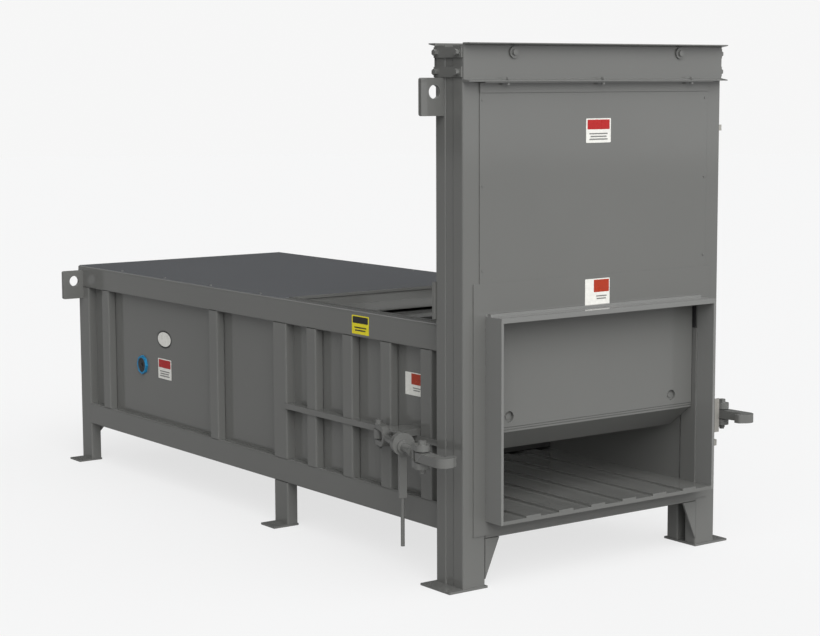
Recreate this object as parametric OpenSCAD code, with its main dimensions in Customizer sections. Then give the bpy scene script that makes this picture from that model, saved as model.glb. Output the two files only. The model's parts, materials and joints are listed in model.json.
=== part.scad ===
// Stationary waste compactor with a guillotine door tower at its discharge end.
// Millimetres, +Z up. The discharge end faces -Y and the machine runs back along +Y.
// Inside the modules, Y is counted from the front faces of the tower columns.

/* [Tower] */
// Width over the two columns
tower_w = 1874; // [1860:2:1890]
// Height of the top of the channels
tower_h = 2919; // [2800:1:3000]
// Width of a column tube, seen from the front
column_w = 152; // [120:1:160]
// Depth of each of the two tubes in a column
column_tube_d = 89; // [80:1:100]
// Gap between the two tubes, which guides the door
guide_gap = 61; // [55:1:70]
// Depth of the channel section across the top
channel_h = 203; // [180:1:220]
// Width of the channel's flanges
channel_flange = 57; // [45:1:65]

/* [Charge box and ram housing] */
// Width over the side rails
body_w = 1722; // [1716:2:1730]
// Distance from the column faces to the rear end
body_len = 4648; // [4400:1:4900]
// Height of the side rails, and depth of the legs
rail_h = 150; // [120:1:160]
// Thickness of the side rails and legs
rail_t = 76; // [60:1:80]
// Underside of the bottom rails
rail_z = 272; // [250:1:300]
// Underside of the top rails
top_rail_z = 1258; // [1200:1:1300]
// Front edge of the cover
opening_end = 1935; // [1900:1:1960]
// Rear edge of the charge opening, where the plate over the ram ends
breaker_y = 1585; // [1540:1:1640]
// Inside width between the side liners
chamber_w = 1544; // [1500:2:1560]
// Underside of the floor plate
floor_z = 365; // [360:1:380]
// Thickness of the floor plate
floor_t = 20; // [16:1:25]
// Thickness of the wear bars on the floor
wear_bar_t = 12; // [8:1:14]

/* [Discharge] */
// How far the snout stands out from the column faces
snout_reach = 140; // [100:1:160]
// Underside of the snout's top flange
snout_top_z = 1450; // [1420:1:1470]
// Top of the discharge face plate
face_plate_top = 1653; // [1600:1:1700]

/* [Door] */
// Width of the door box
door_w = 1524; // [1500:2:1530]
// Lower edge of the door's face at rest
door_face_z = 830; // [780:1:860]
// Upper edge of the door at rest
door_top_z = 1850; // [1800:1:1880]
// Front face of the door
door_front = 25; // [20:1:30]
// Rear face of the door
door_back = 203; // [190:1:210]
// Height of the lower pins of the door cylinders at rest
door_pin_z = 913; // [900:1:930]
// Spacing of the two door cylinders
door_pin_pitch = 1204; // [1100:2:1240]

/* [Ram] */
// Height of the top of the ram
ram_top_z = 1308; // [1280:1:1312]
// Distance of the ram's face behind the column faces
ram_y = 1295; // [1200:1:1560]
// Width of the ram over its side plates
ram_w = 1526; // [1500:2:1530]
// Length of the ram
ram_len = 1800; // [1750:1:1850]

/* [Container clamps] */
// Sideways distance of the rear pin from the centre plane
clamp_pin_x = 900; // [895:1:910]
// Distance of the rear pin behind the column faces
clamp_pin_y = 826; // [815:1:835]
// Height of the clamps' axis
clamp_z = 739; // [735:1:745]
// Distance between the rear pin and the hook pin
clamp_len = 736; // [725:1:750]
// Angle at which the clamps stand out from the sides
clamp_angle = 17; // [16:1:19]

/* [Lifting lugs] */
// Distance of a lug's hole from its outer edge
lug_reach = 87; // [80:1:95]
// Height of a lug
lug_h = 200; // [180:1:220]
// Radius of the hole in a lug
lug_hole_r = 37; // [30:1:40]

/* [Hidden] */
$fn = 48;

// Colours
paint = [0.42, 0.42, 0.41];
steel = [0.6, 0.6, 0.6];
chrome = [0.8, 0.8, 0.82];
nylon = [0.08, 0.08, 0.08];
zinc = [0.72, 0.72, 0.7];
blue = [0.1, 0.45, 0.75];

// Hook pin of the left clamp, and the shift that puts the origin under the middle
hook_pin = [-clamp_pin_x - clamp_len * sin(clamp_angle),
            clamp_pin_y - clamp_len * cos(clamp_angle)];
datum_y = -(body_len - snout_reach) / 2;

// Tower
column_x = tower_w / 2;
column_in = column_x - column_w;
column_d = 2 * column_tube_d + guide_gap;
rear_tube_y = column_tube_d + guide_gap;
plate_t = 6;
gusset_t = 12;
tube_wall = 6;
corner_r = 10;
channel_z = tower_h - channel_h;
channel_web = 6;
strap_t = 10;
strap_h = 55;
strap_low = [channel_z + 24, channel_z + 126];
foot_h = 12;
infill_x = [column_x - 16, column_x - 4];
infill_top = channel_z + 180;

// Charge box
body_x = body_w / 2;
rail_in = body_x - rail_t;
top_z = top_rail_z + rail_h;
bottom_top_z = rail_z + rail_h;
wall_out = body_x - 60;
chamber_x = chamber_w / 2;
liner_x = [chamber_x, column_in];
floor_top = floor_z + floor_t;
bar_top = floor_top + wear_bar_t;
snout_x = [chamber_x, chamber_x + 16];
snout_strip_z = [snout_top_z + 27, snout_top_z + 39];
stiff_w = 102;
stiff_pitch = 384;
stiff_first = 437;
mid_post_y = [1865, 2015];
rear_post_y = [body_len - rail_h, body_len];
housing_stiff_y = [2742, 4244];
mid_rail_z = [737, 771];
bar_w = 102;
bar_pitch = 232;
bar_offset = 16;
liner_top = 1295;

// Door cylinders
pin_x = door_pin_pitch / 2;
door_mid = column_d / 2;
upper_pin_z = channel_z + 154;
door_pin_r = 16;
door_rod_r = 20;
door_bore_r = 38;
door_barrel_r = 46;
door_rod_len = 1107;
door_piston_t = 30;
door_barrel_z = [1690, 2812];
ear_y = [114, 126];
ear_x = 850;

// Ram cylinder
ram_x = ram_w / 2;
ram_plate = 16;
ram_face_t = 25;
ram_z = bar_top + 6;
shoe_gap = 0.5;
cyl_z = 830;
ram_pin_y = ram_y + 95;
anchor_y = 3640;
rear_pin_y = anchor_y - 70;
ram_pin_r = 30;
ram_rod_r = 45;
ram_rod_len = 1610;
ram_bore_r = 78;
ram_barrel_r = 95;
ram_barrel_y = [1800, 3500];
breaker_z = 1335;
port = [-wall_out, 3802, 777];
port_r = 50;

// Clamps
hook_half = 25;
clamp_gap = 31;
clamp_pin_r = 14;
rear_boss_r = 31;
rear_boss_half = 27;
hook_eye_r = 40;
turn_r = 26;
screw_r = 16;
swivel_r = 18;
loose = 0.4;
collar_r = 40;
collar_t = 15;
ratchet_x = [384, 432];
ratchet_r = 64;
ratchet_rise = 12;
barrel_x = [166, 590];
running = 0.05;

// A box between two corners, given as a range on each axis
module block(x, y, z) {
  translate([x[0], y[0], z[0]])
    cube([x[1] - x[0], y[1] - y[0], z[1] - z[0]]);
}

// Places children that are drawn from the column faces in the machine's own frame
module from_columns() {
  translate([0, datum_y, 0]) children();
}

// Draws children on the right side and mirrored on the left side
module both_sides() {
  children();
  mirror([1, 0, 0]) children();
}

// Outline of a rectangle with round corners, one corner at the origin
function round_outline(w, h, r, steps = 4) = [
  for (c = [[w - r, h - r, 0], [r, h - r, 90], [r, r, 180], [w - r, r, 270]])
    for (i = [0 : steps])
      [c[0] + r * cos(c[2] + 90 * i / steps), c[1] + r * sin(c[2] + 90 * i / steps)]
];

module tube_profile(w, h) {
  difference() {
    polygon(round_outline(w, h, corner_r));
    translate([tube_wall, tube_wall])
      square([w - 2 * tube_wall, h - 2 * tube_wall]);
  }
}

// Rectangular tubes that fill a box, along each axis
module tube_z(x, y, z) {
  translate([x[0], y[0], z[0]])
    linear_extrude(z[1] - z[0]) tube_profile(x[1] - x[0], y[1] - y[0]);
}
module tube_y(x, y, z) {
  translate([x[0], y[1], z[0]]) rotate([90, 0, 0])
    linear_extrude(y[1] - y[0]) tube_profile(x[1] - x[0], z[1] - z[0]);
}
module tube_x(x, y, z) {
  translate([x[0], y[0], z[0]]) rotate([90, 0, 90])
    linear_extrude(x[1] - x[0]) tube_profile(y[1] - y[0], z[1] - z[0]);
}

// A cylinder along -Y from the point given, and one along +X
module rod_back(at, r, length) {
  translate(at) rotate([-90, 0, 0]) cylinder(r = r, h = length);
}
module rod_right(at, r, length) {
  translate(at) rotate([0, 90, 0]) cylinder(r = r, h = length);
}

// Hexagon head bolt lying along +X, with its washer
module side_bolt(at, size = 17) {
  rod_right(at, size + 4, 3);
  translate(at + [3, 0, 0]) rotate([0, 90, 0]) cylinder(r = size, h = 20, $fn = 6);
}

// ---- Tower ----

module column() {
  tube_z([column_in, column_x], [0, column_tube_d], [foot_h, tower_h - 14]);
  tube_z([column_in, column_x], [rear_tube_y, column_d], [foot_h, tower_h - 14]);
}

module left_column() {
  color(paint) from_columns() mirror([1, 0, 0]) column();
}

module right_column() {
  color(paint) from_columns() column();
}

module column_infill_bars() {
  color(paint) from_columns() both_sides()
    block(infill_x, [column_tube_d, rear_tube_y], [foot_h, infill_top]);
}

// Foot plates of the columns and legs, each with its anchor holes
module column_foot() {
  difference() {
    block([777, 1035], [-11, 252], [0, foot_h]);
    for (y = [38, 210])
      translate([998, y, -1]) cylinder(r = 11, h = foot_h + 2);
  }
}

module leg_foot(y) {
  difference() {
    block([784, 962], [y[0] - 4, y[1]], [0, foot_h]);
    translate([922, (y[0] + y[1]) / 2, -1]) cylinder(r = 11, h = foot_h + 2);
  }
}

module foot_plates() {
  color(paint) from_columns() both_sides() {
    column_foot();
    leg_foot(mid_post_y);
    leg_foot(rear_post_y);
  }
}

// Channel section with tapered flanges, web at the origin and flanges towards -Y
module channel_profile() {
  tip = 6;
  root = 14;
  polygon([
    [0, 0], [-channel_flange, 0], [-channel_flange, tip], [-channel_web, root],
    [-channel_web, channel_h - root], [-channel_flange, channel_h - tip],
    [-channel_flange, channel_h], [0, channel_h]
  ]);
}

module channel() {
  difference() {
    translate([-column_x, 0, channel_z]) rotate([90, 0, 90])
      linear_extrude(tower_w) channel_profile();
    for (x = [-pin_x, pin_x])
      rod_back([x, -channel_flange, upper_pin_z], door_pin_r + running, channel_flange * 2);
  }
}

module front_top_channel() {
  color(paint) from_columns() channel();
}

module rear_top_channel() {
  color(paint) from_columns()
    translate([0, column_d, 0]) mirror([0, 1, 0]) channel();
}

module tie_straps() {
  color(paint) from_columns() both_sides()
    for (z = strap_low)
      block([column_x, column_x + strap_t], [0, column_d], [z, z + strap_h]);
}

// Strap bolts, and the bolts that hang the access panel under the front channel
module hex_bolts() {
  color(paint) from_columns() {
    both_sides()
      for (z = strap_low, y = [27, column_d - 27])
        side_bolt([column_x + strap_t, y, z + strap_h / 2]);
    for (x = [-668, 0, 668], z = [channel_z - 18, channel_z + 11])
      translate([x, -40, z]) cylinder(r = 11, h = 12, $fn = 6);
  }
}

// Folded cover of the door pocket, with the angle that hangs it
module access_panel() {
  color(paint) from_columns() {
    difference() {
      block([-828, 828], [-5, 0], [face_plate_top, channel_z]);
      block([-820, 820], [-2, 1], [face_plate_top + 8, channel_z - 8]);
    }
    block([-828, 828], [-9, -5], [channel_z - 58, channel_z]);
    block([-828, 828], [-52, -9], [channel_z - 6, channel_z]);
  }
}

// Header, jambs and sill around the discharge opening
module discharge_face_plate() {
  color(paint) from_columns() {
    block([-870, 870], [-plate_t, 0], [snout_strip_z[1], face_plate_top]);
    both_sides()
      block([snout_x[1], 870], [-plate_t, 0], [288, snout_strip_z[1]]);
    block([-snout_x[1], snout_x[1]], [-plate_t, 0], [288, floor_z]);
  }
}

module discharge_snout() {
  width = [-snout_x[1], snout_x[1]];
  color(paint) from_columns() {
    block(width, [-snout_reach, -plate_t], [snout_top_z, snout_strip_z[0]]);
    block([-775, 775], [-32, -plate_t], snout_strip_z);
    block(width, [-plate_t, 0], [snout_top_z, snout_strip_z[1]]);
    both_sides()
      block(snout_x, [-snout_reach, -plate_t], [floor_z, snout_top_z]);
  }
}

module chamber_floor() {
  color(paint) from_columns()
    block([-chamber_x, chamber_x], [-snout_reach, rear_post_y[0]], [floor_z, floor_top]);
}

module floor_wear_bars() {
  color(paint) from_columns()
    for (i = [-2.5 : 2.5])
      translate([i * bar_pitch + bar_offset, 0, 0])
        block([-bar_w / 2, bar_w / 2], [-snout_reach, rear_post_y[0]], [floor_top, bar_top]);
}

// Beams under the floor, across the rear end, and the anchor of the ram's cylinder
module cross_members() {
  span = [-column_in, column_in];
  rear = [-rail_in, rail_in];
  color(paint) from_columns() {
    tube_x(span, [0, column_tube_d], [268, floor_z]);
    tube_x(span, [rear_tube_y, column_d], [268, floor_z]);
    for (y = [1000, 1902, 2800, 3700])
      tube_x(rear, [y, y + rail_t], [rail_z + 15, floor_z]);
    tube_x(rear, rear_post_y, [rail_z, bottom_top_z]);
    tube_x(rear, [body_len - rail_t, body_len], [top_rail_z, top_z]);
    tube_x([-wall_out + 6, wall_out - 6], [anchor_y, anchor_y + 110], [cyl_z - 90, cyl_z + 90]);
    both_sides()
      difference() {
        block([60, 85], [rear_pin_y - 60, anchor_y], [cyl_z - 80, cyl_z + 80]);
        rod_right([50, rear_pin_y, cyl_z], ram_pin_r + running, 45);
      }
  }
}

// A right-angled plate in the X-Z plane: corner, leg along -X and leg down
module gusset(at, width, height) {
  translate([at[0], at[1] + gusset_t, at[2]]) rotate([90, 0, 0])
    linear_extrude(gusset_t) polygon([[0, 0], [-width, 0], [0, -height]]);
}

module gussets() {
  color(paint) from_columns() both_sides() {
    gusset([column_in, 0, 268], 97, 222);
    gusset([rail_in, rear_post_y[0] + 4, rail_z], 60, 62);
    gusset([rail_in, mid_post_y[0] + 45, rail_z + 15], 60, 62);
  }
}

module rear_tie_plate() {
  color(paint) from_columns()
    block([-column_x - 12, column_x + 12], [column_d, column_d + 15],
          [snout_top_z, snout_top_z + 202]);
}

module tower_rear_panel() {
  color(paint) from_columns()
    difference() {
      block([-828, 828], [column_d, column_d + 12], [snout_top_z + 202, channel_z]);
      block([-820, 820], [column_d - 1, column_d + 6],
            [snout_top_z + 210, channel_z - 8]);
    }
}

// Lifting lug standing out to the right, its root at the point given
module lug(at, width) {
  edge_r = 12;
  thickness = 25;
  translate([at[0], at[1] + thickness, at[2]]) rotate([90, 0, 0])
    linear_extrude(thickness) difference() {
      union() {
        square([width - edge_r, lug_h]);
        translate([0, edge_r]) square([width, lug_h - 2 * edge_r]);
        for (z = [edge_r, lug_h - edge_r])
          translate([width - edge_r, z]) circle(r = edge_r);
      }
      translate([width - lug_reach, lug_h - 74]) circle(r = lug_hole_r);
    }
}

module lifting_lugs() {
  color(paint) from_columns() both_sides() {
    lug([column_x, 158, 2538], 152);
    lug([body_x, 4572, 1179], 158);
  }
}

// Guide pads on both sides of the door's ears, and the pads that centre the door
module door_guide_pads() {
  color(nylon) from_columns() both_sides() {
    block([column_in + 4, 880], [column_tube_d, ear_y[0] - 0.5], [300, 2700]);
    block([column_in + 4, 880], [ear_y[1] + 0.5, rear_tube_y], [300, 2700]);
    block([column_in - 7, column_in], [18, 70], [liner_top + 1, 2650]);
  }
}

// Wear liners inside the walls, with the door's slot between the first two
module side_liners() {
  color(paint) from_columns() both_sides() {
    block(liner_x, [-plate_t, ear_y[0] - 1], [floor_z, liner_top]);
    block([chamber_x - 6, chamber_x], [-plate_t, ear_y[0] - 1], [floor_top, liner_top]);
    block(liner_x, [ear_y[1] + 1, column_d], [floor_z, liner_top]);
    block(liner_x, [column_d, opening_end], [floor_z, top_z + 4]);
  }
}

// ---- Charge box and ram housing ----

module top_rails() {
  color(paint) from_columns() both_sides()
    tube_y([rail_in, body_x], [column_d, body_len], [top_rail_z, top_z]);
}

module bottom_rails() {
  color(paint) from_columns() both_sides()
    tube_y([rail_in, body_x], [column_d, rear_post_y[0]], [rail_z, bottom_top_z]);
}

// Rear posts, and the posts and legs behind the charge box
module posts() {
  side = [rail_in, body_x];
  color(paint) from_columns() both_sides() {
    tube_z(side, rear_post_y, [foot_h, top_rail_z]);
    tube_z(side, mid_post_y, [bottom_top_z, top_rail_z]);
    tube_z(side, mid_post_y, [foot_h, rail_z]);
  }
}

function stiffener_y(i) = stiff_first + i * stiff_pitch;

module wall_stiffeners() {
  side = [wall_out, body_x];
  z = [bottom_top_z, top_rail_z];
  color(paint) from_columns() both_sides() {
    for (i = [0 : 3])
      tube_z(side, [stiffener_y(i) - stiff_w / 2, stiffener_y(i) + stiff_w / 2], z);
    for (y = housing_stiff_y)
      tube_z(side, [y - stiff_w / 2, y + stiff_w / 2], z);
  }
}

// Bars across the stiffeners, with a shelf plate in each bay between them
module mid_rails() {
  face = [body_x, body_x + 10];
  z = [mid_rail_z[1] - 8, mid_rail_z[1]];
  color(paint) from_columns() both_sides() {
    block(face, [column_d, stiffener_y(1) - 60], mid_rail_z);
    block(face, [stiffener_y(1) + 60, mid_post_y[0] + 12], mid_rail_z);
    for (i = [0 : 4]) {
      start = i == 0 ? column_d : stiffener_y(i - 1) + stiff_w / 2;
      end = i == 4 ? mid_post_y[0] : stiffener_y(i) - stiff_w / 2;
      block([wall_out, body_x], [start, end], z);
    }
  }
}

module chamber_walls() {
  color(paint) from_columns() both_sides()
    block([rail_in, wall_out], [column_d, mid_post_y[0]], [bottom_top_z, top_rail_z]);
}

// Bolted side panels of the ram housing
module housing_side_panels() {
  x = [wall_out - 6, wall_out];
  z = [bottom_top_z, top_rail_z];
  color(paint) from_columns()
    difference() {
      both_sides()
        block(x, [mid_post_y[1], rear_post_y[0]], z);
      translate(port) rotate([0, 90, 0])
        translate([0, 0, -1]) cylinder(r = port_r, h = 8);
    }
}

// Round-headed screws on the cover and on the access panel
module button_screws() {
  color(paint) from_columns() both_sides() {
    for (i = [0 : 3])
      translate([812, 2228 + 612 * i, top_z + 3]) cylinder(r = 9, h = 4);
    for (z = [1720, 2170, 2620])
      rod_back([810, -8, z], 6, 3);
  }
}

module rear_end_plate() {
  color(paint) from_columns()
    block([-rail_in, rail_in], [body_len - 20, body_len - 12],
          [bottom_top_z, top_rail_z]);
}

module housing_cover() {
  color(paint) from_columns()
    block([-850, 850], [opening_end, body_len], [top_z, top_z + 3]);
}

// Lip under the cover's front edge, with the plate that keeps waste off the ram
module breaker_bar() {
  lip_t = 12;
  color(paint) from_columns() {
    block([-rail_in, rail_in], [opening_end, opening_end + lip_t], [breaker_z, top_z]);
    block([-chamber_x + 1, chamber_x - 1], [opening_end - 6, opening_end],
          [top_z - 15, top_z + 3]);
    block([-chamber_x, chamber_x], [breaker_y, opening_end + lip_t],
          [breaker_z - 8, breaker_z]);
  }
}

// Eight-sided grommet nut around the hose port on the left side
module hose_port() {
  color(blue) from_columns()
    translate(port) rotate([0, -90, 0])
      difference() {
        cylinder(r = 66, h = 16, $fn = 8);
        translate([0, 0, -1]) cylinder(r = port_r, h = 18);
      }
}

// Door position switches and their bracket on the right column
module door_switches() {
  color(zinc) from_columns() {
    block([column_x, column_x + 36], [5, 11], [660, 860]);
    block([column_x, column_x + 20], [6, 44], [580, 616]);
    block([column_x, column_x + 20], [6, 44], [2430, 2464]);
  }
}

// ---- Door cylinders and ram cylinder, fixed parts ----

module door_cylinder_barrels() {
  color(paint) from_columns() both_sides()
    translate([pin_x, door_mid, 0]) {
      difference() {
        translate([0, 0, door_barrel_z[0]])
          cylinder(r = door_barrel_r, h = door_barrel_z[1] - door_barrel_z[0]);
        translate([0, 0, door_barrel_z[0] + 24])
          cylinder(r = door_bore_r, h = door_barrel_z[1] - door_barrel_z[0] - 36);
        translate([0, 0, door_barrel_z[0] - 1])
          cylinder(r = door_rod_r + running, h = 60);
      }
      difference() {
        block([-20, 20], [-20, 20], [door_barrel_z[1], upper_pin_z + 30]);
        rod_back([0, -30, upper_pin_z], door_pin_r + running, 60);
      }
    }
}

module door_upper_pins() {
  color(steel) from_columns() both_sides() {
    rod_back([pin_x, -26, upper_pin_z], door_pin_r, column_d + 52);
    rod_back([pin_x, -16, upper_pin_z], 31, 10);
    rod_back([pin_x, column_d + 6, upper_pin_z], 31, 10);
  }
}

module ram_cylinder_barrel() {
  color(paint) from_columns() {
    difference() {
      rod_back([0, ram_barrel_y[0], cyl_z], ram_barrel_r, ram_barrel_y[1] - ram_barrel_y[0]);
      rod_back([0, ram_barrel_y[0] + 50, cyl_z], ram_bore_r,
               ram_barrel_y[1] - ram_barrel_y[0] - 80);
      rod_back([0, ram_barrel_y[0] - 1, cyl_z], ram_rod_r + running, 100);
    }
    difference() {
      block([-55, 55], [ram_barrel_y[1], rear_pin_y + 55], [cyl_z - 55, cyl_z + 55]);
      rod_right([-60, rear_pin_y, cyl_z], ram_pin_r + running, 120);
    }
  }
}

module ram_cylinder_rear_pin() {
  color(steel) from_columns()
    rod_right([-100, rear_pin_y, cyl_z], ram_pin_r, 200);
}

// ---- Door ----

module door_face() {
  color(paint) from_columns()
    difference() {
      block([-door_w / 2, door_w / 2], [door_front, door_front + 16], [door_face_z, door_top_z]);
      for (x = [-pin_x, pin_x])
        rod_back([x, door_front - 1, door_pin_z], 31, 18);
      for (z = [11, 24])
        block([-door_w / 2 - 1, door_w / 2 + 1], [door_front - 1, door_front + 6],
              [door_face_z + z, door_face_z + z + 3]);
    }
}

// Back plate, side plates and the pin plates of the door box
module door_box() {
  inner = [door_front + 16, door_back - 16];
  half = door_w / 2;
  pin_plate_z = [door_face_z, door_pin_z + 50];
  color(paint) from_columns() {
    block([-half, half], [door_back - 16, door_back], [door_face_z, door_top_z]);
    both_sides()
      block([half - 16, half], inner, [door_face_z, door_top_z]);
    both_sides()
      difference() {
        block([pin_x - 60, pin_x + 60], [inner[0], inner[0] + 20], pin_plate_z);
        rod_back([pin_x, inner[0] - 1, door_pin_z], door_pin_r + running, 22);
      }
    both_sides()
      difference() {
        block([pin_x - 60, pin_x + 60], [inner[1] - 20, inner[1]], pin_plate_z);
        rod_back([pin_x, inner[1] - 21, door_pin_z], door_pin_r + running, 22);
      }
    for (z = [1160, 1480, 1800])
      block([-pin_x + 70, pin_x - 70], inner, [z, z + 12]);
  }
}

// Sloping knife plate that closes the underside of the door
module door_knife() {
  slope_z = 127;
  color(paint) from_columns()
    translate([-door_w / 2, 0, 0]) rotate([90, 0, 90]) linear_extrude(door_w)
      polygon([
        [door_front + 6, door_face_z], [door_back, door_face_z],
        [door_back, door_face_z - slope_z], [door_back - 8, door_face_z - slope_z]
      ]);
}

module door_guide_ears() {
  color(steel) from_columns() both_sides()
    block([door_w / 2, ear_x], ear_y, [door_face_z, door_top_z]);
}

module door_pins() {
  color(steel) from_columns() both_sides()
    rod_back([pin_x, door_front + 12, door_pin_z], door_pin_r, door_back - door_front - 30);
}

// Rods of the two door cylinders, with their eyes and pistons
module door_cylinder_rods() {
  color(chrome) from_columns() both_sides()
    translate([pin_x, door_mid, 0]) {
      translate([0, 0, door_pin_z + 30])
        cylinder(r = door_rod_r, h = door_rod_len - 30);
      difference() {
        block([-28, 28], [-25, 25], [door_pin_z - 28, door_pin_z + 30]);
        rod_back([0, -30, door_pin_z], door_pin_r + running, 60);
      }
      translate([0, 0, door_pin_z + door_rod_len])
        cylinder(r = door_bore_r - running, h = door_piston_t);
    }
}

// ---- Ram ----

// Face plate with the two ears that take the rod's pin
module ram_face() {
  color(paint) from_columns() {
    block([-ram_x, ram_x], [ram_y, ram_y + ram_face_t], [ram_z, ram_top_z]);
    both_sides()
      difference() {
        block([62, 87], [ram_y + ram_face_t, ram_pin_y + 50], [cyl_z - 75, cyl_z + 75]);
        rod_right([55, ram_pin_y, cyl_z], ram_pin_r + running, 40);
      }
  }
}

// Top, bottom and side plates of the ram, open at the rear
module ram_shell() {
  y = [ram_y + ram_face_t, ram_y + ram_len];
  color(paint) from_columns() {
    block([-ram_x, ram_x], y, [ram_top_z - ram_plate, ram_top_z]);
    block([-ram_x, ram_x], y, [ram_z, ram_z + ram_plate]);
    both_sides()
      block([ram_x - ram_plate, ram_x], y, [ram_z + ram_plate, ram_top_z - ram_plate]);
  }
}

// Wear shoes that slide on the floor's bars and along the liners
module ram_shoes() {
  color(nylon) from_columns() {
    for (i = [-2.5, -1.5, 1.5, 2.5])
      translate([i * bar_pitch + bar_offset, 0, 0])
        block([-35, 35], [ram_y + 60, ram_y + ram_len - 60], [bar_top + shoe_gap, ram_z]);
    both_sides()
      for (z = [520, 1120])
        block([ram_x, chamber_x - shoe_gap], [ram_y + 60, ram_y + 560], [z, z + 70]);
  }
}

module ram_cylinder_rod() {
  color(chrome) from_columns() {
    rod_back([0, ram_pin_y + 55, cyl_z], ram_rod_r, ram_rod_len - 55);
    difference() {
      block([-50, 50], [ram_pin_y - 50, ram_pin_y + 55], [cyl_z - 50, cyl_z + 50]);
      rod_right([-60, ram_pin_y, cyl_z], ram_pin_r + running, 120);
    }
    rod_back([0, ram_pin_y + ram_rod_len, cyl_z], ram_bore_r - running, 40);
  }
}

module ram_rod_pin() {
  color(steel) from_columns()
    rod_right([-95, ram_pin_y, cyl_z], ram_pin_r, 190);
}

// ---- Container clamps ----

// Local frame of the left clamp: origin on the rear pin, +X towards the hook pin
module at_left_clamp() {
  translate([-clamp_pin_x, clamp_pin_y, clamp_z])
    rotate([0, 0, -90 - clamp_angle]) children();
}

// Rear pin bosses on the third stiffeners, and the shelves over the turnbuckles
module clamp_brackets() {
  shelf = [945, 1012];
  shelf_y = [500, 650];
  color(paint) from_columns() both_sides() {
    difference() {
      union() {
        translate([clamp_pin_x, clamp_pin_y, clamp_z - rear_boss_half])
          cylinder(r = rear_boss_r, h = 2 * rear_boss_half);
        block([body_x, clamp_pin_x], [clamp_pin_y - 20, clamp_pin_y + 20],
              [clamp_z - rear_boss_half, clamp_z + rear_boss_half]);
      }
      translate([clamp_pin_x, clamp_pin_y, clamp_z - rear_boss_half - 1])
        cylinder(r = clamp_pin_r + running, h = 2 * rear_boss_half + 2);
    }
    block([wall_out, shelf[0]], [shelf_y[0], shelf_y[0] + 8], [mid_rail_z[1], 800]);
    translate([0, 0, 800]) linear_extrude(8) polygon([
      [wall_out, shelf_y[0]], [shelf[1], shelf_y[0]],
      [shelf[1], shelf_y[0] + 60], [shelf[0] + 20, shelf_y[1]], [wall_out, shelf_y[1]]
    ]);
  }
}

// Two ears around a pin at the origin, joined by a back of the thickness given
module fork(gap, thick, ear_r, back) {
  outer = gap + thick;
  difference() {
    union() {
      translate([0, 0, -outer]) cylinder(r = ear_r, h = 2 * outer);
      block([0, back[1]], [-ear_r + 3, ear_r - 3], [-outer, outer]);
    }
    block([-ear_r - 1, back[0]], [-ear_r - 1, ear_r + 1], [-gap, gap]);
    translate([0, 0, -outer - 1]) cylinder(r = clamp_pin_r, h = 2 * outer + 2);
  }
}

// Two ears around a pin at the origin, joined by a round bend
module bail(gap, thick, ear_r, bend_x) {
  outer = gap + thick;
  difference() {
    union() {
      translate([0, 0, -outer]) cylinder(r = ear_r, h = 2 * outer);
      block([0, bend_x], [-ear_r, ear_r], [-outer, outer]);
      translate([bend_x, -ear_r, 0]) rotate([-90, 0, 0]) cylinder(r = outer, h = 2 * ear_r);
    }
    block([-outer - 1, bend_x], [-ear_r - 1, ear_r + 1], [-gap, gap]);
    translate([bend_x, -ear_r - 1, 0]) rotate([-90, 0, 0]) cylinder(r = gap, h = 2 * ear_r + 2);
    translate([0, 0, -outer - 1]) cylinder(r = clamp_pin_r, h = 2 * outer + 2);
  }
}

// Bolt through two ears: washer and hexagon head on top, nut and bolt end below
module clamp_bolt(half) {
  translate([0, 0, -half - 26]) cylinder(r = clamp_pin_r, h = 2 * half + 26);
  translate([0, 0, half]) cylinder(r = 24, h = 4);
  translate([0, 0, half + 4]) cylinder(r = 22, h = 18, $fn = 6);
  translate([0, 0, -half - 16])
    difference() {
      cylinder(r = 20, h = 16, $fn = 6);
      translate([0, 0, -1]) cylinder(r = clamp_pin_r, h = 18);
    }
}

// Rear yoke with its bolt and the swivel rod that carries the barrel
module clamp_yoke() {
  thick = 28;
  bend_x = 90;
  rod_start = bend_x + clamp_gap + 10;
  at_left_clamp() {
    bail(clamp_gap, thick, 24, bend_x);
    clamp_bolt(clamp_gap + thick);
    rod_right([rod_start, 0, 0], swivel_r, 245 - rod_start);
  }
}

// Turnbuckle barrel with the collars on both sides of the ratchet
module clamp_barrel() {
  end_collar = 12;
  at_left_clamp()
    difference() {
      union() {
        rod_right([barrel_x[0], 0, 0], turn_r, barrel_x[1] - barrel_x[0]);
        rod_right([ratchet_x[0] - 1 - collar_t, 0, 0], collar_r, collar_t);
        rod_right([ratchet_x[1] + 1, 0, 0], collar_r, collar_t);
        rod_right([barrel_x[1] - end_collar, 0, 0], turn_r + 7, end_collar);
      }
      rod_right([barrel_x[0] - 1, 0, 0], swivel_r + loose, 97);
      rod_right([275, 0, 0], screw_r + loose, barrel_x[1] - 274);
    }
}

// Ratchet housing with its flat arm and the rod that lengthens it
module clamp_handle() {
  mid = (ratchet_x[0] + ratchet_x[1]) / 2;
  arm_z = [-290, -45];
  rod_z = -560;
  at_left_clamp() {
    difference() {
      rod_right([ratchet_x[0], 0, ratchet_rise], ratchet_r, ratchet_x[1] - ratchet_x[0]);
      rod_right([ratchet_x[0] - 1, 0, 0], turn_r + loose, 50);
    }
    block([mid - 12, mid + 12], [-22, 22], arm_z);
    translate([mid, 0, rod_z]) cylinder(r = 11, h = arm_z[0] - rod_z);
  }
}

// Front screw with its fork and bolt
module clamp_screw() {
  thick = 34;
  back = [48, 68];
  screw_start = 320;
  at_left_clamp() {
    rod_right([screw_start, 0, 0], screw_r, clamp_len - back[0] - 5 - screw_start);
    translate([clamp_len, 0, 0]) mirror([1, 0, 0]) {
      fork(clamp_gap, thick, hook_eye_r, back);
      clamp_bolt(clamp_gap + thick);
    }
  }
}

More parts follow.
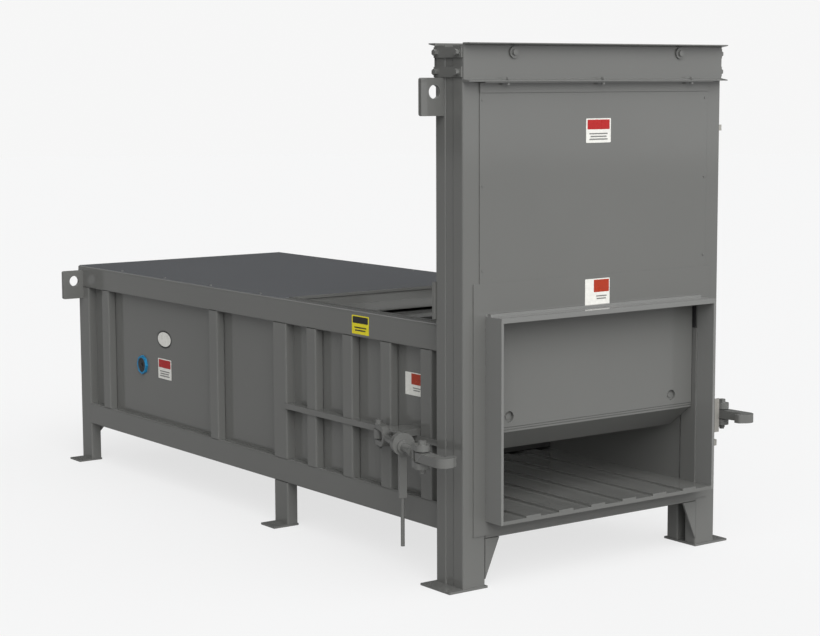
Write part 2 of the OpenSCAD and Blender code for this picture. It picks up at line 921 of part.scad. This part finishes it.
// Hook: eye, shank, round heel and the toe that points inwards
module clamp_hook() {
  heel = hook_pin + [5, -184];
  heel_r = 56;
  throat = [6, 12];
  toe_end = 66;
  toe_r = 20;
  toe = [toe_end - toe_r, throat[1] - toe_r - 6];
  translate([0, 0, clamp_z - hook_half]) linear_extrude(2 * hook_half)
    difference() {
      union() {
        translate(hook_pin) circle(r = hook_eye_r - 1);
        polygon([
          heel + [-heel_r, 0], heel + [throat[0], 0], heel + throat,
          hook_pin + [37, -12], hook_pin + [-39, 0]
        ]);
        difference() {
          translate(heel) circle(r = heel_r);
          translate(heel + throat) square([heel_r, heel_r]);
        }
        translate(heel + toe) circle(r = toe_r);
        translate(heel)
          polygon([
            [0, throat[1]], [0, -heel_r], [20, -52], toe + [11, -17],
            [toe_end, toe[1]], [toe_end, throat[1]]
          ]);
      }
      translate(hook_pin) circle(r = clamp_pin_r + running);
    }
}

module left_clamp_yoke() { color(paint) from_columns() clamp_yoke(); }
module left_clamp_barrel() { color(paint) from_columns() clamp_barrel(); }
module left_clamp_handle() { color(paint) from_columns() clamp_handle(); }
module left_clamp_screw() { color(paint) from_columns() clamp_screw(); }
module left_clamp_hook() { color(paint) from_columns() clamp_hook(); }

module right_clamp_yoke() { color(paint) mirror([1, 0, 0]) from_columns() clamp_yoke(); }
module right_clamp_barrel() { color(paint) mirror([1, 0, 0]) from_columns() clamp_barrel(); }
module right_clamp_handle() { color(paint) mirror([1, 0, 0]) from_columns() clamp_handle(); }
module right_clamp_screw() { color(paint) mirror([1, 0, 0]) from_columns() clamp_screw(); }
module right_clamp_hook() { color(paint) mirror([1, 0, 0]) from_columns() clamp_hook(); }

left_column();
right_column();
column_infill_bars();
foot_plates();
front_top_channel();
rear_top_channel();
tie_straps();
hex_bolts();
access_panel();
discharge_face_plate();
discharge_snout();
chamber_floor();
floor_wear_bars();
cross_members();
gussets();
rear_tie_plate();
tower_rear_panel();
lifting_lugs();
door_guide_pads();
side_liners();
top_rails();
bottom_rails();
posts();
wall_stiffeners();
mid_rails();
chamber_walls();
housing_side_panels();
button_screws();
rear_end_plate();
housing_cover();
breaker_bar();
hose_port();
door_switches();
door_cylinder_barrels();
door_upper_pins();
ram_cylinder_barrel();
ram_cylinder_rear_pin();
door_face();
door_box();
door_knife();
door_guide_ears();
door_pins();
door_cylinder_rods();
ram_face();
ram_shell();
ram_shoes();
ram_cylinder_rod();
ram_rod_pin();
clamp_brackets();
left_clamp_yoke();
left_clamp_barrel();
left_clamp_handle();
left_clamp_screw();
left_clamp_hook();
right_clamp_yoke();
right_clamp_barrel();
right_clamp_handle();
right_clamp_screw();
right_clamp_hook();
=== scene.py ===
import json
import math

import bmesh
import bpy
from mathutils import Matrix, Vector


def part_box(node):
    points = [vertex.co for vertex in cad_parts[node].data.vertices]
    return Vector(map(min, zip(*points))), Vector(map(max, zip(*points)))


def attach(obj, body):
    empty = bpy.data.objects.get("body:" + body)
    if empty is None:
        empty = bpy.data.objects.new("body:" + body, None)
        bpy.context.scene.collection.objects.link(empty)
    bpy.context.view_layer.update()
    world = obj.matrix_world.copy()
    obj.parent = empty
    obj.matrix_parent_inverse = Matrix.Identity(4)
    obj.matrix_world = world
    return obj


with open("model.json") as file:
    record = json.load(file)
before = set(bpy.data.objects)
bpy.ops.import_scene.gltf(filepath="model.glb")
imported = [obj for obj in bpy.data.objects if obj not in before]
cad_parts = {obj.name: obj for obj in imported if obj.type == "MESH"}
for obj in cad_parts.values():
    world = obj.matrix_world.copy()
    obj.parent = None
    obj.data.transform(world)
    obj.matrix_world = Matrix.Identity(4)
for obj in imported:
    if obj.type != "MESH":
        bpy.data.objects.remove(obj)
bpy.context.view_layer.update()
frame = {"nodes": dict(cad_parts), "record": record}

NODES = frame["nodes"]

# Lengths are in metres. COLUMN_FACE is the plane of the tower columns' front faces.
COLUMN_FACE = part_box("left_column")[0].y


# ---- Camera, light and floor ----

# Azimuth, elevation and roll in degrees, then the place counted from the column faces
CAMERA_ANGLES = (-36.0619, 6.9830, -0.2292)
CAMERA_PLACE = (-7.1151, -8.0109, 2.720)
CAMERA_LENS = 84.87


def add_camera():
    """A long lens above eye height, from the front left corner."""
    azimuth, elevation, roll = map(math.radians, CAMERA_ANGLES)
    back = Vector((math.sin(azimuth) * math.cos(elevation),
                   -math.cos(azimuth) * math.cos(elevation), math.sin(elevation)))
    right = Vector((0, 0, 1)).cross(back).normalized()
    up = back.cross(right)
    turned_right = right * math.cos(roll) + up * math.sin(roll)
    turned_up = up * math.cos(roll) - right * math.sin(roll)
    data = bpy.data.cameras.new("camera")
    data.sensor_width = 36
    data.lens = CAMERA_LENS
    data.clip_end = 100
    camera = bpy.data.objects.new("camera", data)
    turn = Matrix((turned_right, turned_up, back)).transposed()
    place = Vector(CAMERA_PLACE) + Vector((0, COLUMN_FACE, 0))
    camera.matrix_world = Matrix.Translation(place) @ turn.to_4x4()
    bpy.context.scene.collection.objects.link(camera)
    bpy.context.scene.camera = camera


def add_sun(name, towards, strength, spread):
    """Soft light from far away, even along the whole machine."""
    data = bpy.data.lights.new(name, "SUN")
    data.energy = strength
    data.angle = math.radians(spread)
    light = bpy.data.objects.new(name, data)
    light.rotation_euler = Vector(towards).to_track_quat("-Z", "Y").to_euler()
    bpy.context.scene.collection.objects.link(light)


def add_world():
    """A soft studio: bright in front of the machine and overhead, dim behind it."""
    world = bpy.data.worlds.new("studio")
    world.use_nodes = True
    tree = world.node_tree
    tree.nodes.clear()
    where = tree.nodes.new("ShaderNodeTexCoord")
    parts = tree.nodes.new("ShaderNodeSeparateXYZ")
    tree.links.new(where.outputs["Generated"], parts.inputs[0])
    depth = map_range(tree, parts.outputs["Y"], (-1, 1), (0, 1))
    along = ramp(tree, depth, WORLD_FRONT_TO_BACK)
    height = map_range(tree, parts.outputs["Z"], (0, 1), WORLD_HORIZON_TO_TOP)
    strength = tree.nodes.new("ShaderNodeMath")
    strength.operation = "MULTIPLY"
    tree.links.new(along, strength.inputs[0])
    tree.links.new(height, strength.inputs[1])
    gain = tree.nodes.new("ShaderNodeMath")
    gain.operation = "MULTIPLY"
    gain.inputs[1].default_value = WORLD_GAIN
    tree.links.new(strength.outputs[0], gain.inputs[0])
    soft = tree.nodes.new("ShaderNodeBackground")
    soft.inputs["Color"].default_value = (0.98, 0.99, 1, 1)
    tree.links.new(gain.outputs[0], soft.inputs["Strength"])
    seen = tree.nodes.new("ShaderNodeBackground")
    seen.inputs["Color"].default_value = (1, 1, 1, 1)
    seen.inputs["Strength"].default_value = BACKDROP
    path = tree.nodes.new("ShaderNodeLightPath")
    mix = tree.nodes.new("ShaderNodeMixShader")
    out = tree.nodes.new("ShaderNodeOutputWorld")
    tree.links.new(path.outputs["Is Camera Ray"], mix.inputs["Fac"])
    tree.links.new(soft.outputs[0], mix.inputs[1])
    tree.links.new(seen.outputs[0], mix.inputs[2])
    tree.links.new(mix.outputs[0], out.inputs["Surface"])
    bpy.context.scene.world = world


def add_floor():
    """A wide pale disc that glows enough to stay as pale as the backdrop."""
    reach = 60
    sides = 64
    drop = 0.001
    mesh = bpy.data.meshes.new("floor")
    rim = [(reach * math.cos(2 * math.pi * i / sides), reach * math.sin(2 * math.pi * i / sides), 0)
           for i in range(sides)]
    mesh.from_pydata(rim, [], [tuple(range(sides))])
    floor = bpy.data.objects.new("floor", mesh)
    floor.location.z = -drop
    bpy.context.scene.collection.objects.link(floor)
    material, tree, shader = new_material("floor")
    shader.inputs["Base Color"].default_value = (FLOOR_GREY, FLOOR_GREY, FLOOR_GREY, 1)
    shader.inputs["Roughness"].default_value = 0.9
    shader.inputs["Specular IOR Level"].default_value = 0
    shader.inputs["Emission Color"].default_value = (1, 1, 1, 1)
    path = tree.nodes.new("ShaderNodeLightPath")
    glow = map_range(tree, path.outputs["Is Camera Ray"], (0, 1), FLOOR_GLOW)
    tree.links.new(glow, shader.inputs["Emission Strength"])
    mesh.materials.append(material)


# ---- Nodes that the materials and the light share ----

def new_material(name):
    material = bpy.data.materials.new(name)
    material.use_nodes = True
    return material, material.node_tree, material.node_tree.nodes["Principled BSDF"]


def map_range(tree, value, source, target):
    node = tree.nodes.new("ShaderNodeMapRange")
    node.inputs["From Min"].default_value, node.inputs["From Max"].default_value = source
    node.inputs["To Min"].default_value, node.inputs["To Max"].default_value = target
    tree.links.new(value, node.inputs["Value"])
    return node.outputs["Result"]


# ---- Materials ----

def coordinates(tree, scale=(1, 1, 1)):
    where = tree.nodes.new("ShaderNodeTexCoord")
    mapping = tree.nodes.new("ShaderNodeMapping")
    mapping.inputs["Scale"].default_value = scale
    tree.links.new(where.outputs["Object"], mapping.inputs["Vector"])
    return mapping.outputs["Vector"]


def noise(tree, vector, scale, detail=4, roughness=0.5):
    node = tree.nodes.new("ShaderNodeTexNoise")
    node.inputs["Scale"].default_value = scale
    node.inputs["Detail"].default_value = detail
    node.inputs["Roughness"].default_value = roughness
    tree.links.new(vector, node.inputs["Vector"])
    return node.outputs["Fac"]


def ramp(tree, value, stops):
    """A colour ramp through (position, colour) pairs. A grey is given as one number."""
    node = tree.nodes.new("ShaderNodeValToRGB")
    elements = node.color_ramp.elements
    while len(elements) < len(stops):
        elements.new(0.5)
    for element, (position, colour) in zip(elements, stops):
        rgb = (colour, colour, colour) if isinstance(colour, (int, float)) else colour
        element.position = position
        element.color = (*rgb, 1)
    tree.links.new(value, node.inputs["Fac"])
    return node.outputs["Color"]


def mix_colours(tree, factor, low, high, mode="MIX"):
    node = tree.nodes.new("ShaderNodeMix")
    node.data_type = "RGBA"
    node.blend_type = mode
    for socket, value in ((node.inputs[0], factor), (node.inputs[6], low), (node.inputs[7], high)):
        if isinstance(value, bpy.types.NodeSocket):
            tree.links.new(value, socket)
        else:
            socket.default_value = value if isinstance(value, (int, float)) else (*value, 1)
    return node.outputs[2]


def shade(colour, factor):
    return tuple(min(1, c * factor) for c in colour)


def bump(tree, shader, height, strength, distance, edge=0.0):
    """Surface relief, with edges rounded off in the shading where a radius is given."""
    node = tree.nodes.new("ShaderNodeBump")
    if edge:
        bevel = tree.nodes.new("ShaderNodeBevel")
        bevel.samples = 4
        bevel.inputs["Radius"].default_value = edge
        tree.links.new(bevel.outputs["Normal"], node.inputs["Normal"])
    node.inputs["Strength"].default_value = strength
    node.inputs["Distance"].default_value = distance
    tree.links.new(height, node.inputs["Height"])
    tree.links.new(node.outputs["Normal"], shader.inputs["Normal"])


# Enamel greys, edge radius of painted steel, and the studio's levels
GREY = (0.154, 0.1545, 0.147)
# The cover's bluish grey is a painted reflection: its blue tint and its level paint in the sky's sheen and
# the light on an upward face.
COVER_PAINTED_REFLECTION_GREY = (0.150, 0.156, 0.166)
# The snout's paler grey is painted light: a lit copy of the grey enamel for the extra light on the snout's
# sides.
SNOUT_PAINTED_LIGHT_GREY = (0.205, 0.206, 0.198)
# The ram face's near-black grey is painted shade: it paints in the dark behind the door.
RAM_PAINTED_SHADE_GREY = (0.05, 0.05, 0.048)
EDGE_RADIUS = 0.0015
BACKDROP = 0.925
WORLD_GAIN = 0.62
WORLD_FRONT_TO_BACK = [(0, 0.84), (0.25, 1.0), (0.5, 0.20), (0.75, 0.06), (1, 0.055)]
WORLD_HORIZON_TO_TOP = (1.65, 3.4)
FLOOR_GREY = 0.2
FLOOR_GLOW = (0.17, 0.720)


def light_the_studio():
    bpy.context.scene.view_settings.view_transform = "Standard"
    add_camera()
    add_world()
    add_floor()
    add_sun("key", (0.34, 0.82, -0.60), 1.40, 50)
    add_sun("back_fill", (-0.30, -0.60, -0.75), 0.35, 60)


light_the_studio()


def paint(name, grey=GREY, roughness=(0.06, 0.10), scuffs=0.0, streaks=(1, 1, 1)):
    """Semi-gloss enamel on steel: faint tone drift, orange peel, dust, and rub marks."""
    material, tree, shader = new_material(name)
    where = coordinates(tree)
    drift = noise(tree, where, 0.9, 5, 0.55)
    colour = ramp(tree, drift, [(0.3, shade(grey, 0.975)), (0.7, shade(grey, 1.025))])
    speckle = noise(tree, where, 260, 1, 0.5)
    dust = ramp(tree, speckle, [(0.60, 0.0), (0.85, 0.25)])
    colour = mix_colours(tree, dust, colour, shade(grey, 1.15))
    if scuffs:
        lines = noise(tree, coordinates(tree, streaks), 22, 6, 0.7)
        patch = noise(tree, where, 2.1, 3, 0.6)
        worn = ramp(tree, lines, [(0.55, 0.0), (0.78, scuffs)])
        where_worn = ramp(tree, patch, [(0.40, 0.0), (0.75, 1.0)])
        amount = mix_colours(tree, 1.0, worn, where_worn, "MULTIPLY")
        colour = mix_colours(tree, amount, colour, shade(grey, 1.4))
    tree.links.new(colour, shader.inputs["Base Color"])
    smudge = noise(tree, where, 2.6, 5, 0.55)
    rough = ramp(tree, smudge, [(0.3, roughness[0]), (0.7, roughness[1])])
    tree.links.new(rough, shader.inputs["Roughness"])
    shader.inputs["Metallic"].default_value = 0
    shader.inputs["Specular IOR Level"].default_value = 0.5
    bump(tree, shader, noise(tree, where, 420, 2, 0.5), 0.025, 0.0005, EDGE_RADIUS)
    return material


def bare_metal(name, colour, roughness, grain):
    """Machined or plated steel with a fine grain along one direction."""
    material, tree, shader = new_material(name)
    lines = noise(tree, coordinates(tree, grain), 60, 4, 0.6)
    tone = ramp(tree, lines, [(0.3, shade(colour, 0.82)), (0.7, colour)])
    tree.links.new(tone, shader.inputs["Base Color"])
    rough = ramp(tree, lines, [(0.3, roughness[0]), (0.7, roughness[1])])
    tree.links.new(rough, shader.inputs["Roughness"])
    shader.inputs["Metallic"].default_value = 1
    bump(tree, shader, lines, 0.08, 0.0004)
    return material


def moulded(name, colour, roughness):
    """Moulded plastic with a fine pebble and faint rub marks."""
    material, tree, shader = new_material(name)
    where = coordinates(tree)
    cloud = noise(tree, where, 9, 4, 0.6)
    tone = ramp(tree, cloud, [(0.35, shade(colour, 0.85)), (0.7, shade(colour, 1.15))])
    tree.links.new(tone, shader.inputs["Base Color"])
    rough = ramp(tree, noise(tree, where, 30, 4, 0.6), [(0.3, roughness), (0.7, roughness + 0.15)])
    tree.links.new(rough, shader.inputs["Roughness"])
    bump(tree, shader, noise(tree, where, 700, 2, 0.5), 0.12, 0.0004)
    return material


MATERIALS = {
    "paint": paint("grey_enamel"),
    "door_paint": paint("door_enamel", scuffs=0.15, streaks=(6, 6, 0.35)),
    "floor_paint": paint("floor_enamel", scuffs=0.2, streaks=(7, 0.25, 7)),
    "clamp_paint": paint("clamp_enamel", roughness=(0.22, 0.30), scuffs=0.12, streaks=(2, 2, 2)),
    # Cover enamel: a bluish grey that paints in a reflection of the sky.
    "cover_painted_reflection_paint": paint("cover_painted_reflection_enamel", grey=COVER_PAINTED_REFLECTION_GREY),
    # Ram enamel: a near-black grey that paints in shade, with real rub marks on it.
    "painted_shade_and_wear_paint": paint("ram_painted_shade_enamel", grey=RAM_PAINTED_SHADE_GREY, roughness=(0.35, 0.5), scuffs=0.2),
    # Snout enamel: a paler grey that paints in light.
    "painted_light_for_snout": paint("snout_painted_light_enamel", grey=SNOUT_PAINTED_LIGHT_GREY),
    "steel": bare_metal("turned_steel", (0.45, 0.44, 0.42), (0.28, 0.42), (1, 1, 12)),
    "chrome": bare_metal("hard_chrome", (0.72, 0.73, 0.75), (0.08, 0.16), (8, 1, 8)),
    "nylon": moulded("black_nylon", (0.035, 0.035, 0.036), 0.5),
    "zinc": bare_metal("zinc_plate", (0.62, 0.60, 0.55), (0.32, 0.5), (3, 3, 3)),
    "blue_plastic": moulded("blue_plastic", (0.012, 0.21, 0.42), 0.35),
}


# Nodes whose enamel differs from the rest of their slot as painted light: the cover's bluish grey is a
# painted reflection, the snout's paler grey is painted light, and the ram face's near-black grey is
# painted shade
PAINTED_LIGHT_ENAMELS = {"housing_cover": "cover_painted_reflection_paint", "discharge_snout": "painted_light_for_snout", "ram_face": "painted_shade_and_wear_paint"}


def dress_cad_nodes():
    slots = {s["node"]: s["material_slot"] for s in frame["record"]["subparts"]}
    for name, node in NODES.items():
        node.data.materials.clear()
        node.data.materials.append(MATERIALS[PAINTED_LIGHT_ENAMELS.get(name, slots[name])])


dress_cad_nodes()


# ---- Decals: plain coloured fields, with bars where a sign would have its lines ----

def printed(name, colour):
    """Printed vinyl: even ink with a faint mottle under a soft gloss."""
    material, tree, shader = new_material(name)
    where = coordinates(tree)
    mottle = noise(tree, where, 60, 3, 0.5)
    tone = ramp(tree, mottle, [(0.3, shade(colour, 0.94)), (0.7, shade(colour, 1.04))])
    tree.links.new(tone, shader.inputs["Base Color"])
    rough = ramp(tree, noise(tree, where, 14, 3, 0.5), [(0.3, 0.25), (0.7, 0.38)])
    tree.links.new(rough, shader.inputs["Roughness"])
    bump(tree, shader, noise(tree, where, 900, 1, 0.5), 0.03, 0.0003)
    return material


INKS = {
    "white": printed("ink_white", (0.82, 0.81, 0.76)),
    "red": printed("ink_red", (0.44, 0.006, 0.006)),
    "rust": printed("ink_rust", (0.40, 0.032, 0.006)),
    "black": printed("ink_black", (0.012, 0.012, 0.012)),
    "grey": printed("ink_grey", (0.20, 0.20, 0.19)),
    "yellow": printed("ink_yellow", (0.86, 0.74, 0.01)),
}
DECAL_THICKNESS = 0.0008
PANEL_THICKNESS = 0.005
INK_THICKNESS = 0.0003


def rounded_rectangle(width, height, corner, steps=5):
    """Outline points, counter-clockwise around the origin."""
    points = []
    for cx, cy, start in ((1, 1, 0), (-1, 1, 90), (-1, -1, 180), (1, -1, 270)):
        for i in range(steps + 1):
            a = math.radians(start + 90 * i / steps)
            points.append((cx * (width / 2 - corner) + corner * math.cos(a),
                           cy * (height / 2 - corner) + corner * math.sin(a)))
    return points


def oval(width, height, steps=48):
    return [(width / 2 * math.cos(2 * math.pi * i / steps), height / 2 * math.sin(2 * math.pi * i / steps))
            for i in range(steps)]


def add_prism(mesh, outline, offset, low, high, slot):
    """A closed prism over an outline, from one height to another."""
    bottom = [mesh.verts.new((x + offset[0], y + offset[1], low)) for x, y in outline]
    top = [mesh.verts.new((x + offset[0], y + offset[1], high)) for x, y in outline]
    faces = [mesh.faces.new(top), mesh.faces.new(bottom[::-1])]
    count = len(outline)
    for i in range(count):
        j = (i + 1) % count
        faces.append(mesh.faces.new((bottom[i], bottom[j], top[j], top[i])))
    for face in faces:
        face.material_index = slot


def add_decal(name, centre, right, up, layers):
    """A sticker from (ink, outline, offset) layers, each one a little prouder than the last."""
    mesh = bmesh.new()
    inks = sorted({ink for ink, outline, offset in layers})
    low, high = 0.0, DECAL_THICKNESS
    for ink, outline, offset in layers:
        add_prism(mesh, outline, offset, low, high, inks.index(ink))
        low = high - INK_THICKNESS / 2
        high += INK_THICKNESS
    data = bpy.data.meshes.new(name)
    mesh.to_mesh(data)
    mesh.free()
    right, up = Vector(right), Vector(up)
    turn = Matrix((right, up, right.cross(up))).transposed().to_4x4()
    data.transform(Matrix.Translation(Vector(centre)) @ turn)
    for ink in inks:
        data.materials.append(INKS[ink])
    decal = bpy.data.objects.new(name, data)
    bpy.context.scene.collection.objects.link(decal)
    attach(decal, "frame")


def lines(ink, width, height, count, centre):
    """Centred bars of falling width, in the place of a sign's lines."""
    bars = []
    pitch = height / count
    for i in range(count):
        bar = rounded_rectangle(width * (1 - 0.12 * (i % 2)), pitch * 0.45, pitch * 0.2)
        bars.append((ink, bar, (centre[0], centre[1] + height / 2 - pitch * (i + 0.5))))
    return bars


def banner_sign(width, height):
    """White plate with a plain red field across the top and three bars."""
    field = height * 0.40
    return [
        ("white", rounded_rectangle(width, height, 0.004), (0, 0)),
        ("red", rounded_rectangle(width * 0.9, field, 0.004), (0, height * 0.45 - field / 2)),
    ] + lines("grey", width * 0.74, height * 0.34, 3, (0, -height * 0.24))


def panel_sign(width, height):
    """White plate with a plain rust field at the top right and two bars under it."""
    field = (width * 0.62, height * 0.48)
    centre = (width * 0.47 - field[0] / 2, height * 0.46 - field[1] / 2)
    return [
        ("white", rounded_rectangle(width, height, 0.004), (0, 0)),
        ("rust", rounded_rectangle(*field, 0.003), centre),
    ] + lines("grey", field[0] * 0.7, height * 0.2, 2, (centre[0], -height * 0.22))


def striped_sign(width, height):
    """Yellow plate with a dark field across the top and two bars."""
    field = height * 0.36
    return [
        ("yellow", rounded_rectangle(width, height, 0.004), (0, 0)),
        ("black", rounded_rectangle(width * 0.9, field, 0.003), (0, height * 0.44 - field / 2)),
    ] + lines("black", width * 0.7, height * 0.3, 2, (0, -height * 0.22))


def badge(width, height):
    """Blank oval plate with a dark rim."""
    rim = 0.011
    return [
        ("black", oval(width, height), (0, 0)),
        ("white", oval(width - 2 * rim, height - 2 * rim), (0, 0)),
    ]


def from_face(y):
    """Y in the machine's frame of a distance counted back from the column faces."""
    return COLUMN_FACE + y


def add_decals():
    """Each sign in its place: centre, the directions of its right edge and top, its layers."""
    panel_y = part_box("access_panel")[1].y - PANEL_THICKNESS
    header_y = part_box("discharge_face_plate")[0].y
    rail_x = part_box("top_rails")[0].x
    wall_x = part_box("chamber_walls")[0].x
    on_front = ((1, 0, 0), (0, 0, 1))
    on_side = ((0, -1, 0), (0, 0, 1))
    add_decal("access_panel_decal", (0, panel_y, 2.4475), *on_front, banner_sign(0.180, 0.133))
    add_decal("header_decal", (0, header_y, 1.5585), *on_front, panel_sign(0.180, 0.145))
    add_decal("rail_decal", (rail_x, from_face(1.062), 1.330), *on_side, striped_sign(0.170, 0.108))
    add_decal("wall_decal", (wall_x, from_face(0.6235), 1.0365), *on_side, panel_sign(0.165, 0.129))
    add_decal("housing_decal", (wall_x, from_face(3.4975), 0.781), *on_side, banner_sign(0.181, 0.138))
    add_decal("housing_badge", (wall_x, from_face(3.496), 0.985), *on_side, badge(0.200, 0.121))


add_decals()


# ---- Rubber grommet in the hose port ----

def add_turned_ring(name, profile, centre, axis, material, body, steps=64):
    """A closed ring from (radius, height) points turned around an axis."""
    mesh = bmesh.new()
    rings = []
    for i in range(steps):
        a = 2 * math.pi * i / steps
        rings.append([mesh.verts.new((r * math.cos(a), r * math.sin(a), h)) for r, h in profile])
    count = len(profile)
    for i in range(steps):
        here, there = rings[i], rings[(i + 1) % steps]
        for k in range(count):
            m = (k + 1) % count
            mesh.faces.new((here[k], there[k], there[m], here[m]))
    bmesh.ops.recalc_face_normals(mesh, faces=mesh.faces)
    data = bpy.data.meshes.new(name)
    mesh.to_mesh(data)
    mesh.free()
    turn = Vector((0, 0, 1)).rotation_difference(Vector(axis)).to_matrix().to_4x4()
    data.transform(Matrix.Translation(Vector(centre)) @ turn)
    data.materials.append(material)
    ring = bpy.data.objects.new(name, data)
    bpy.context.scene.collection.objects.link(ring)
    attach(ring, body)


def add_port_grommet():
    """Rubber ring that fills the port's bore, set a little below the nut's face."""
    low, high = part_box("hose_port")
    recess = 0.002
    centre = (low.x + recess, (low.y + high.y) / 2, (low.z + high.z) / 2)
    profile = [(0.0499, -0.012), (0.0499, 0.0), (0.044, 0.001), (0.040, -0.003), (0.020, -0.005),
               (0.014, -0.002), (0.012, -0.005), (0.012, -0.012)]
    add_turned_ring("port_grommet", profile, centre, (-1, 0, 0), MATERIALS["nylon"], "frame")


add_port_grommet()
